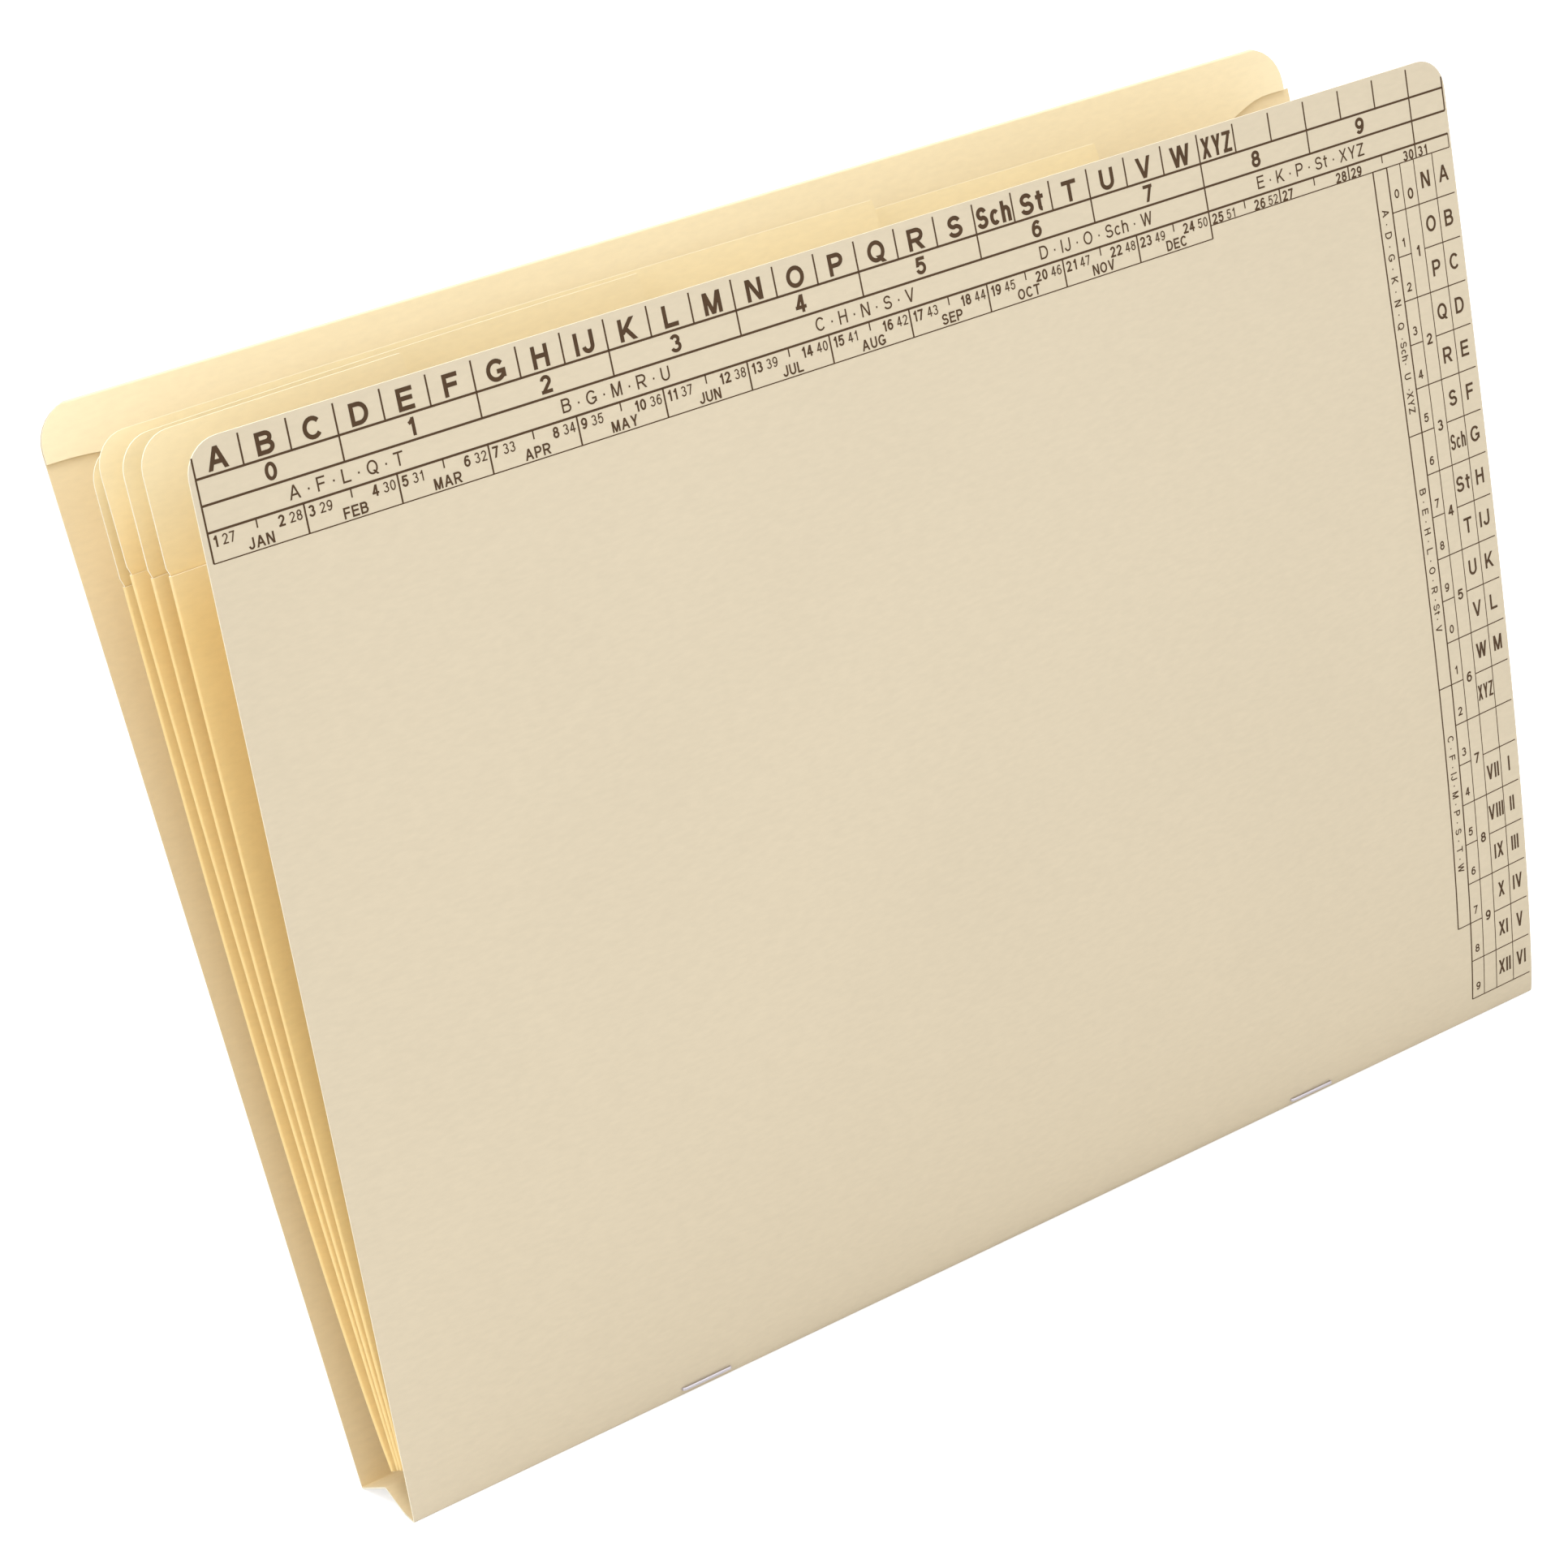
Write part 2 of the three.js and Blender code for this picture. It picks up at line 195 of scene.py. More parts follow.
def card_material(name, colour, mottle=0.03, roughness=0.78, bump=0.1, painted_light_top_colour=None):
    """Pressed card: a broad cloudy tone, fine fibre flecks, and a faint tooth. With a painted
    light top colour, the strip that stands in the open is painted lighter, as painted light."""
    material = bpy.data.materials.new(name)
    material.use_nodes = True
    nodes, links = material.node_tree.nodes, material.node_tree.links
    shader = nodes["Principled BSDF"]
    shader.inputs["Roughness"].default_value = roughness
    shader.inputs["Specular IOR Level"].default_value = 0.25
    where = nodes.new("ShaderNodeTexCoord")
    cloud = nodes.new("ShaderNodeTexNoise")
    cloud.inputs["Scale"].default_value = 14.0
    cloud.inputs["Detail"].default_value = 4.0
    fibre = nodes.new("ShaderNodeTexNoise")
    fibre.inputs["Scale"].default_value = 900.0
    fibre.inputs["Detail"].default_value = 3.0
    stretch = nodes.new("ShaderNodeMapping")
    stretch.inputs["Scale"].default_value = (0.35, 1.0, 1.0)
    base = np.array(linear(colour))
    tone = nodes.new("ShaderNodeMix")
    tone.data_type = "RGBA"
    tone.inputs["A"].default_value = tuple(np.append(base[:3] * (1 - mottle), 1.0))
    tone.inputs["B"].default_value = tuple(np.append(np.minimum(base[:3] * (1 + mottle), 1), 1.0))
    fleck = nodes.new("ShaderNodeMix")
    fleck.data_type = "RGBA"
    fleck.blend_type = "MULTIPLY"
    fleck.inputs["Factor"].default_value = 0.10
    relief = nodes.new("ShaderNodeBump")
    relief.inputs["Strength"].default_value = bump
    relief.inputs["Distance"].default_value = 0.00006
    links.new(where.outputs["Object"], cloud.inputs["Vector"])
    links.new(where.outputs["Object"], stretch.inputs["Vector"])
    links.new(stretch.outputs["Vector"], fibre.inputs["Vector"])
    links.new(cloud.outputs["Fac"], tone.inputs["Factor"])
    # Painted light: a smooth step in object height, 0.205 to 0.245 m, blends the card's colour
    # into the lighter top colour, standing in for light on the tops and shade lower down.
    if painted_light_top_colour:
        painted_light_mix = nodes.new("ShaderNodeMix")
        painted_light_mix.data_type = "RGBA"
        painted_light_mix.inputs["B"].default_value = linear(painted_light_top_colour)
        height = nodes.new("ShaderNodeSeparateXYZ")
        painted_light_fade = nodes.new("ShaderNodeMapRange")
        painted_light_fade.interpolation_type = "SMOOTHSTEP"
        painted_light_fade.inputs["From Min"].default_value = 0.205
        painted_light_fade.inputs["From Max"].default_value = 0.245
        links.new(where.outputs["Object"], height.inputs["Vector"])
        links.new(height.outputs["Z"], painted_light_fade.inputs["Value"])
        links.new(painted_light_fade.outputs["Result"], painted_light_mix.inputs["Factor"])
        links.new(tone.outputs["Result"], painted_light_mix.inputs["A"])
        links.new(painted_light_mix.outputs["Result"], fleck.inputs["A"])
    else:
        links.new(tone.outputs["Result"], fleck.inputs["A"])
    links.new(fibre.outputs["Fac"], fleck.inputs["B"])
    links.new(fleck.outputs["Result"], shader.inputs["Base Color"])
    links.new(fibre.outputs["Fac"], relief.inputs["Height"])
    links.new(relief.outputs["Normal"], shader.inputs["Normal"])
    return material


def ink_material(name, colour):
    """Flat printing ink, a little uneven where the card's tooth shows through."""
    material = bpy.data.materials.new(name)
    material.use_nodes = True
    nodes, links = material.node_tree.nodes, material.node_tree.links
    shader = nodes["Principled BSDF"]
    shader.inputs["Roughness"].default_value = 0.6
    shader.inputs["Specular IOR Level"].default_value = 0.2
    where = nodes.new("ShaderNodeTexCoord")
    grain = nodes.new("ShaderNodeTexNoise")
    grain.inputs["Scale"].default_value = 700.0
    tone = nodes.new("ShaderNodeMix")
    tone.data_type = "RGBA"
    base = np.array(linear(colour))
    tone.inputs["A"].default_value = tuple(np.append(base[:3] * 0.85, 1.0))
    tone.inputs["B"].default_value = tuple(np.append(np.minimum(base[:3] * 1.2, 1), 1.0))
    links.new(where.outputs["Object"], grain.inputs["Vector"])
    links.new(grain.outputs["Fac"], tone.inputs["Factor"])
    links.new(tone.outputs["Result"], shader.inputs["Base Color"])
    return material


def wire_material(name):
    """Bright drawn steel wire with faint scratches along it."""
    material = bpy.data.materials.new(name)
    material.use_nodes = True
    nodes, links = material.node_tree.nodes, material.node_tree.links
    shader = nodes["Principled BSDF"]
    shader.inputs["Metallic"].default_value = 0.9
    shader.inputs["Base Color"].default_value = linear((206, 202, 212))
    where = nodes.new("ShaderNodeTexCoord")
    stretch = nodes.new("ShaderNodeMapping")
    stretch.inputs["Scale"].default_value = (0.05, 1.0, 1.0)
    scratch = nodes.new("ShaderNodeTexNoise")
    scratch.inputs["Scale"].default_value = 4000.0
    spread = nodes.new("ShaderNodeMapRange")
    spread.inputs["To Min"].default_value = 0.25
    spread.inputs["To Max"].default_value = 0.45
    links.new(where.outputs["Object"], stretch.inputs["Vector"])
    links.new(stretch.outputs["Vector"], scratch.inputs["Vector"])
    links.new(scratch.outputs["Fac"], spread.inputs["Value"])
    links.new(spread.outputs["Result"], shader.inputs["Roughness"])
    return material


# Painted light and shade: the cover is one card on both sides, yet its outside is painted greyer
# as shade and its inside and hem lighter and warmer as light, lit and shaded copies of one
# material.
cover_outside_painted_shade = card_material("cover_card_outside_painted_shade", (210, 197, 172))
cover_inside_painted_light = card_material("cover_card_inside_painted_light", (238, 218, 176))
cover_hem_painted_light = card_material("cover_card_hem_painted_light", (249, 234, 196))
# Painted light and shade: the divider card's colour is made deeper and more saturated, standing
# in for the warm shaded light between the leaves, and its top strip lighter as painted light.
divider_painted_light_shade = card_material("divider_card", (250, 220, 154), painted_light_top_colour=(253, 237, 194))
# Painted highlight: every cut edge of card is painted near white, standing in for the light that
# the thin edges catch.
cut_edge_painted_highlight = card_material("cut_card_edge_painted_highlight", (253, 244, 220), bump=0.3)
ink = ink_material("brown_ink", (74, 53, 32))
steel_wire = wire_material("staple_steel")


# Cover
def ease(t):
    """A smooth step from 0 to 1: three t squared less two t cubed."""
    t = np.clip(t, 0, 1)
    return t * t * (3 - 2 * t)


def cover_sheet():
    """The whole cover as one sheet. Each row is a place along the sheet, from the front's
    top edge down, through the front fold, sill, ridge and rear fold, up the rear and over
    into the hem; each column is a share of the sheet's width at that row. The hem is
    HEM_DEPTH deep at both ends and HEM_BELLY deeper between its rounded ends."""
    share = np.linspace(0, 1, COVER_COLUMNS + 1)

    def columns(inset):
        return inset + share * (WIDTH - 2 * inset)

    rows = []
    tops = np.concatenate([
        corner_rows(FRONT_CORNER), np.linspace(FRONT_CORNER, HEIGHT - 3.0, 62)[1:],
        [HEIGHT - 2.0],
    ])
    for q in tops:
        x = columns(corner_inset(q, FRONT_CORNER))
        rows.append((x, front_back(x, HEIGHT - q), np.full_like(x, HEIGHT - q)))
    x = columns(0.0)
    flat = np.zeros((len(x), 2))
    last = np.stack([front_back(x, 1.4), x * 0 + 1.4], axis=-1)
    front = flat + (0.0, 0.22)
    sill = flat + (SILL_BACK, SILL_UP + floor_up(SILL_BACK))
    ridge = flat + (RIDGE_BACK, RIDGE_UP + floor_up(RIDGE_BACK))
    rear = flat + (BASE_DEPTH - 0.2, 0.22 + floor_up(BASE_DEPTH))
    s = x / WIDTH
    reach = REAR_REACH_LEFT * (1 - s) + REAR_REACH_RIGHT * s - BASE_DEPTH
    rise = np.sqrt(HEIGHT ** 2 - reach ** 2)
    lean = np.stack([reach, rise], axis=-1) / HEIGHT
    inward = np.stack([-lean[:, 1], lean[:, 0]], axis=-1)
    length = HEIGHT + REAR_RISE
    heel = flat + (BASE_DEPTH, floor_up(BASE_DEPTH))
    along = lambda q, off: heel + lean * q + inward * off
    run = [
        fillet(last, front, sill, 0.45),
        legs(front, sill, 3),
        fillet(front, sill, ridge, 1.2),
        legs(sill, ridge, 4),
        fillet(sill, ridge, rear, 0.55),
        legs(ridge, rear, 6),
        fillet(ridge, rear, along(30, CARD / 2), 0.5),
    ]
    for row in np.concatenate(run):
        rows.append((x, row[:, 0], row[:, 1]))
    bend = (CARD + HEM_GAP) / 2
    fold = CARD / 2 + bend
    below = np.linspace(3.0, length - HEM_DEPTH - 0.01, 60)
    above = (length - corner_rows(REAR_CORNER))[::-1]
    above = above[above < length - fold]
    heights = np.concatenate([below, [length - HEM_DEPTH + 0.01], above, [length - fold]])

    def rear_row(q, off, deeper=0.0):
        down = length - q
        curve = corner_inset(down, REAR_CORNER)
        step = HEM_STEP if down < HEM_DEPTH else 0.0
        xs = curve + share * (WIDTH - 2 * curve - step)
        point = along(q - deeper, off)
        back = np.interp(xs, x, point[:, 0])
        up = np.interp(xs, x, point[:, 1])
        rows.append((xs, back, up))

    for q in heights:
        rear_row(q, CARD / 2)
    for turn in np.linspace(0, math.pi, 9)[1:-1]:
        rear_row(length - fold + bend * math.sin(turn), fold - bend * math.cos(turn))
    inner = np.concatenate([
        [length - fold], above[::-1], [length - 11.0, length - HEM_DEPTH + 0.02],
    ])
    for q in inner[:-1]:
        rear_row(q, fold + bend)
    deeper = HEM_BELLY * ease((x - 4.0) / 45.0) * ease((WIDTH - 8.0 - x) / 20.0)
    rear_row(inner[-1], fold + bend, deeper[:, None])
    middle = np.stack([stand(a, c, b) for a, b, c in rows])
    points, faces, slots = sheet(middle)
    # Painted light: the hem's rows on the slot-0 side take slot 3, the hem's copy of the card,
    # painted lighter than the inside as light.
    hem_faces = (len(middle) - 1 - len(inner) - 4) * COVER_COLUMNS
    slots[hem_faces:(len(middle) - 1) * COVER_COLUMNS] = 3
    return points, faces, slots


points, faces, slots = cover_sheet()
cover = put_mesh(
    "folded_cover", points, faces, slots, (cover_outside_painted_shade, cover_inside_painted_light, cut_edge_painted_highlight, cover_hem_painted_light),
)
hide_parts("outer_cover")
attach(cover, "root")


# Dividers
DIVIDERS = (
    dict(foot=12.4, root=1.3, top=251.6, left=24.0, right=11.0, middle=9.5, curl=0.08),
    dict(foot=12.0, root=2.9, top=249.6, left=34.0, right=22.5, middle=12.0, curl=0.11),
    dict(foot=11.5, root=4.5, top=248.6, left=46.5, right=34.5, middle=7.0, curl=0.06),
    dict(foot=10.0, root=7.4, top=245.0, left=51.2, right=46.5, middle=2.5, curl=0.14, bend=0.7),
)
# POCKET_GAP is the way between a pocket's two leaves, POCKET_DROP is how far its low leaf
# ends below its tall one, and STRIP_PITCH is the way from one foot strip to the next.
POCKET_GAP = 0.35
POCKET_DROP = 30.0
TAB_COUNT = 5
TAB_EDGE = 3.5
TAB_STEP = 10.0
TAB_SLANT = 1.5
LEAF_CORNER = 8.0
INSET = 0.5
STRIP_INSET = 10.0
STRIP_PITCH = 0.7
STRIP_TOP = 2.95


def leaf_back(d, number, x, up):
    """Where a divider's tall leaf is: straight from its foot to its top with a sine curl,
    and below the foot a strip that runs to its place in the stapled stack."""
    s = x / WIDTH
    strip = CARD + CLEARANCE + number * STRIP_PITCH
    top = d["left"] * (1 - s) + d["right"] * s + 4 * d["middle"] * s * (1 - s)
    low = np.clip((up - STRIP_TOP) / (d["foot"] - STRIP_TOP), 0, 1)
    t = np.clip((up - d["foot"]) / (d["top"] - d["foot"]), 0, 1)
    curl = d["curl"] * (1 - s) + 0.08 * s
    tall = d["root"] + (top - d["root"]) * (t + curl * np.sin(np.pi * t ** d.get("bend", 1.0)))
    return np.where(up <= d["foot"], strip + (d["root"] - strip) * low, tall)


def divider_sheets(number):
    """A divider pocket: the tall leaf with its tab and foot strip, and the low leaf in
    front of it with the two side folds, each a grid of rows by columns."""
    d = DIVIDERS[number]
    x0, x1 = INSET, WIDTH - INSET
    tab_end = (WIDTH + TAB_EDGE) * (number + 1) / TAB_COUNT - TAB_EDGE
    low = d["top"] - POCKET_DROP
    arcs = corner_rows(LEAF_CORNER)
    x = np.unique(np.round(np.concatenate([
        x0 + arcs, x1 - arcs, np.linspace(x0 + LEAF_CORNER, x1 - LEAF_CORNER, 120),
        tab_end + np.linspace(-1.2, TAB_SLANT + 1.2, 13),
    ]), 4))
    side = np.minimum(x - x0, x1 - x)
    step = ease((x - tab_end) / TAB_SLANT)
    top = d["top"] - TAB_STEP * step - corner_inset(side, LEAF_CORNER)
    sill = 1.9 + 0.35 * number
    rows = []
    radius = (CARD + POCKET_GAP) / 2
    inner = radius + CARD / 2
    squeezed = lambda inset: x0 + inset + (x - x0) * (x1 - x0 - 2 * inset) / (x1 - x0)
    for up in np.linspace(sill, d["foot"] - 0.01, 8):
        rows.append((squeezed(STRIP_INSET), x * 0 + up))
    for up in np.linspace(d["foot"], low, 56):
        rows.append((squeezed(inner), x * 0 + up))
    for t in np.linspace(0, 1, 14)[1:]:
        rows.append((x, low + 0.02 + (top - low - 0.02) * t))
    tall = np.stack([stand(a, b, leaf_back(d, number, a, b)) for a, b in rows])

    turn = np.linspace(0, math.pi, 9)
    xc = np.concatenate([
        x0 + inner - radius * np.sin(turn), np.linspace(x0 + inner, x1 - inner, 122)[1:-1],
        x1 - inner + radius * np.sin(turn[::-1]),
    ])
    off = np.concatenate([
        radius * (1 - np.cos(turn)), np.full(120, 2 * radius), radius * (1 - np.cos(turn[::-1])),
    ])
    ups = np.concatenate([d["foot"] + np.array([0.3, 0.5, 0.8, 1.2, 1.8]),
                          np.linspace(d["foot"] + 5, low, 54)])
    close = np.clip((ups - d["foot"] - 0.2) / 1.2, 0, 1) ** 0.5
    up = ups[:, None] + xc * 0
    back = leaf_back(d, number, np.clip(xc, x0, x1) + up * 0, up) - off * close[:, None]
    return joined([sheet(tall), sheet(stand(xc + up * 0, up, back))])


for number in range(len(DIVIDERS)):
    points, faces, slots = divider_sheets(number)
    leaf = put_mesh(
        f"divider_pocket_{number + 1}", points, faces, slots,
        (divider_painted_light_shade, divider_painted_light_shade, cut_edge_painted_highlight),
    )
    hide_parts(f"divider_{number + 1}")
    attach(leaf, "root")


# Staples
def staple_points(x):
    """A flattened wire carried along a bent path: crown, two bends, legs and clinched
    ends. The section is a rounded rectangle of the wire's width and thickness."""
    half, wire, tall, r = 6.78, 0.42, 0.78, 0.55
    front = front_back(x, 2.75) - CARD / 2 - 0.5
    rear = len(DIVIDERS) * STRIP_PITCH + CARD / 2 + CLEARANCE + wire / 2
    quarter = np.linspace(0, math.pi / 2, 6)
    bend_a = np.stack([half - r + r * np.sin(quarter), front + r - r * np.cos(quarter)], -1)
    bend_b = np.stack([half - r + r * np.cos(quarter), rear - r + r * np.sin(quarter)], -1)
    right = np.concatenate([
        [[0.0, front], [half / 2, front]], bend_a, bend_b, [[half - 3.8, rear]],
    ])
    left = right[::-1] * (-1, 1)
    path = np.concatenate([left[:-1], right])
    tangent = np.gradient(path, axis=0)
    tangent /= np.linalg.norm(tangent, axis=1, keepdims=True)
    aside = np.stack([-tangent[:, 1], tangent[:, 0]], -1)
    angle = np.linspace(0, 2 * math.pi, 17)[:-1]
    power = lambda v: np.sign(v) * np.abs(v) ** 0.55
    wide = power(np.cos(angle)) * wire / 2
    high = power(np.sin(angle)) * tall / 2
    px = path[:, 0, None] + aside[:, 0, None] * wide
    back = path[:, 1, None] + aside[:, 1, None] * wide
    return stand(x + px, 2.15 + high + px * 0, back)


def staple_mesh(name, x):
    ring = staple_points(x)
    rows, count = ring.shape[:2]
    ids = np.arange(rows * count).reshape(rows, count)
    ids = np.concatenate([ids, ids[:, :1]], axis=1)
    faces = quads(ids).tolist()
    faces.append(ids[0, :-1].tolist())
    faces.append(ids[-1, :-1][::-1].tolist())
    mesh = bpy.data.meshes.new(name)
    mesh.from_pydata(ring.reshape(-1, 3).tolist(), [], faces)
    mesh.materials.append(steel_wire)
    mesh.polygons.foreach_set("use_smooth", np.ones(len(mesh.polygons), bool))
    mesh.update()
    mesh.set_sharp_from_angle(angle=math.radians(50))
    piece = bpy.data.objects.new(name, mesh)
    bpy.context.scene.collection.objects.link(piece)
    return piece


STAPLE_INSET = 80.0
for number, x in enumerate((STAPLE_INSET, WIDTH - STAPLE_INSET)):
    wire = staple_mesh(f"staple_wire_{number + 1}", x)
    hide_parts(f"staple_{number + 1}")
    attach(wire, "root")


# Printed index
# CELL is the side of a grid cell in mm. Grid places count cells: u from the left ruled
# edge, v down from the first long line.
CELL = 11.218
GRID_LEFT = 0.13
GRID_UP = 21.91
INK_LIFT = 0.03
line_parts = []
letter_parts = []


def cell_x(u):
    return (np.asarray(u, float) + GRID_LEFT) * CELL


def cell_up(v):
    return (GRID_UP - np.asarray(v, float)) * CELL


def on_front(x, up, more=0.0):
    """A place on the front cover's outer side, lifted by the ink's thickness."""
    return stand(x, up, front_back(x, up) - CARD / 2 - INK_LIFT - more)


def ruled(u0, v0, u1, v1, width=0.42):
    """A ruled line between two grid places, as a strip that follows the cover."""
    a = np.array([cell_x(u0), cell_up(v0)])
    b = np.array([cell_x(u1), cell_up(v1)])
    length = np.linalg.norm(b - a)
    t = np.linspace(0, 1, max(2, int(length / 4) + 2))[:, None]
    line = a + (b - a) * t
    aside = np.array([-(b - a)[1], (b - a)[0]]) / length * width / 2
    grid = np.stack([line + aside, line - aside])
    ids = np.arange(2 * len(line)).reshape(2, -1)
    points = on_front(grid[..., 0], grid[..., 1]).reshape(-1, 3)
    faces = quads(ids)
    line_parts.append((points, faces))


def arc(cx, cy, rx, ry, start, end):
    """Points on an ellipse between two angles in degrees, twelve to a half turn."""
    turn = np.radians(np.linspace(start, end, max(5, int(abs(end - start) / 15) + 1)))
    return np.stack([cx + rx * np.cos(turn), cy + ry * np.sin(turn)], axis=-1)


# Strokes of the index letters in a box one high: width, then bars. V is an upright at x
# from y to y, H a level bar at y from x to x, D a slanting stroke cut level at both ends,
# and C a curved stroke. Places run from 0 to 1 between the outermost strokes.
BOWL = [("V", 0, 0, 1), ("H", 1, 0, 0.6), ("H", 0.44, 0, 0.6),
        ("C", arc(0.58, 0.72, 0.42, 0.28, -90, 90))]
ROUND = arc(0.5, 0.5, 0.5, 0.5, 0, 360)
DOUBLE_CURVE = np.concatenate([
    arc(0.5, 0.74, 0.44, 0.26, 15, 262), arc(0.5, 0.26, 0.5, 0.26, 82, -168)])
LETTERS = {
    "A": (0.98, [("D", 0.02, 0, 0.5, 1), ("D", 0.98, 0, 0.5, 1), ("H", 0.3, 0.2, 0.8)]),
    "B": (0.80, [("V", 0, 0, 1), ("H", 1, 0, 0.6), ("H", 0.54, 0, 0.6), ("H", 0, 0, 0.6),
                 ("C", arc(0.56, 0.77, 0.36, 0.23, -90, 90)),
                 ("C", arc(0.58, 0.27, 0.42, 0.27, -90, 90))]),
    "C": (0.88, [("C", arc(0.52, 0.5, 0.52, 0.5, 38, 322))]),
    "D": (0.84, [("V", 0, 0, 1), ("H", 1, 0, 0.5), ("H", 0, 0, 0.5),
                 ("C", arc(0.45, 0.5, 0.55, 0.5, -90, 90))]),
    "E": (0.74, [("V", 0, 0, 1), ("H", 1, 0, 1), ("H", 0.53, 0, 0.94), ("H", 0, 0, 1)]),
    "F": (0.68, [("V", 0, 0, 1), ("H", 1, 0, 1), ("H", 0.5, 0, 0.9)]),
    "G": (0.92, [("C", arc(0.52, 0.5, 0.52, 0.5, 38, 325)), ("V", 1, 0.14, 0.5),
                 ("H", 0.42, 0.55, 1)]),
    "H": (0.78, [("V", 0, 0, 1), ("V", 1, 0, 1), ("H", 0.54, 0, 1)]),
    "I": (0.0, [("V", 0, 0, 1)]),
    "J": (0.60, [("V", 1, 0.3, 1), ("C", arc(0.5, 0.3, 0.5, 0.3, 185, 360))]),
    "K": (0.84, [("V", 0, 0, 1), ("D", 0.04, 0.3, 0.95, 1), ("D", 0.36, 0.56, 1, 0)]),
    "L": (0.68, [("V", 0, 0, 1), ("H", 0, 0, 1)]),
    "M": (0.92, [("V", 0, 0, 1), ("V", 1, 0, 1), ("D", 0.03, 1, 0.5, 0), ("D", 0.97, 1, 0.5, 0)]),
    "N": (0.80, [("V", 0, 0, 1), ("V", 1, 0, 1), ("D", 0.04, 1, 0.96, 0)]),
    "O": (0.94, [("C", ROUND)]),
    "P": (0.76, BOWL),
    "Q": (0.94, [("C", ROUND), ("D", 0.6, 0.3, 1.0, -0.05)]),
    "R": (0.84, BOWL + [("D", 0.5, 0.45, 1.0, 0)]),
    "S": (0.78, [("C", DOUBLE_CURVE)]),
    "T": (0.80, [("H", 1, 0, 1), ("V", 0.5, 0, 1)]),
    "U": (0.78, [("V", 0, 0.35, 1), ("V", 1, 0.35, 1),
                 ("C", arc(0.5, 0.36, 0.5, 0.36, 180, 360))]),
    "V": (0.90, [("D", 0.02, 1, 0.5, 0), ("D", 0.98, 1, 0.5, 0)]),
    "W": (1.30, [("D", 0.02, 1, 0.26, 0), ("D", 0.5, 1, 0.26, 0), ("D", 0.5, 1, 0.74, 0),
                 ("D", 0.98, 1, 0.74, 0)]),
    "X": (0.86, [("D", 0.04, 0, 0.96, 1), ("D", 0.04, 1, 0.96, 0)]),
    "Y": (0.86, [("D", 0.04, 1, 0.5, 0.4), ("D", 0.96, 1, 0.5, 0.4), ("V", 0.5, 0, 0.45)]),
    "Z": (0.76, [("H", 1, 0, 1), ("H", 0, 0, 1), ("D", 0.04, 0.06, 0.96, 0.94)]),
    "c": (0.60, [("C", arc(0.52, 0.34, 0.52, 0.34, 42, 318))]),
    "h": (0.58, [("V", 0, 0, 1), ("V", 1, 0, 0.5), ("C", arc(0.5, 0.45, 0.5, 0.26, 0, 180))]),
    "t": (0.34, [("V", 0.42, 0.14, 0.95), ("H", 0.72, 0, 1),
                 ("C", arc(0.86, 0.14, 0.44, 0.14, 180, 275))]),
    "0": (0.62, [("C", ROUND)]),
    "1": (0.36, [("V", 1, 0, 1), ("C", np.array([[0.1, 0.74], [0.5, 0.82], [0.95, 1.0]]))]),
    "2": (0.62, [("H", 0, 0, 1), ("C", np.concatenate([
        arc(0.5, 0.72, 0.48, 0.28, 172, -28), [[0.5, 0.3], [0.08, 0.0]]]))]),
    "3": (0.62, [("C", arc(0.46, 0.76, 0.44, 0.24, 160, -90)),
                 ("C", arc(0.46, 0.27, 0.52, 0.27, 90, -165))]),
    "4": (0.66, [("V", 0.74, 0, 1), ("H", 0.25, 0, 1), ("D", 0.06, 0.3, 0.68, 1)]),
    "5": (0.62, [("H", 1, 0.2, 0.95), ("D", 0.04, 0.45, 0.16, 0.98),
                 ("C", arc(0.46, 0.33, 0.53, 0.33, 140, -165))]),
    "6": (0.62, [("C", arc(0.5, 0.31, 0.5, 0.31, 0, 360)),
                 ("C", arc(0.6, 0.36, 0.6, 0.64, 180, 52))]),
    "7": (0.60, [("H", 1, 0, 1), ("D", 0.26, 0, 0.94, 0.92)]),
    "8": (0.62, [("C", arc(0.5, 0.76, 0.42, 0.24, 0, 360)),
                 ("C", arc(0.5, 0.27, 0.5, 0.27, 0, 360))]),
    "9": (0.62, [("C", arc(0.5, 0.69, 0.5, 0.31, 0, 360)),
                 ("C", arc(0.4, 0.64, 0.6, 0.64, 0, -128))]),
    "·": (0.0, [("V", 0, 0.42, 0.42)]),
}
# Stroke thicknesses as shares of the capitals' height, and the share of a letter's drawn
# width that it takes between its outermost strokes.
BOLD, FIGURE, SEMIBOLD, MEDIUM, LIGHT = 0.2, 0.18, 0.16, 0.15, 0.13
SET_WIDTH = 0.8


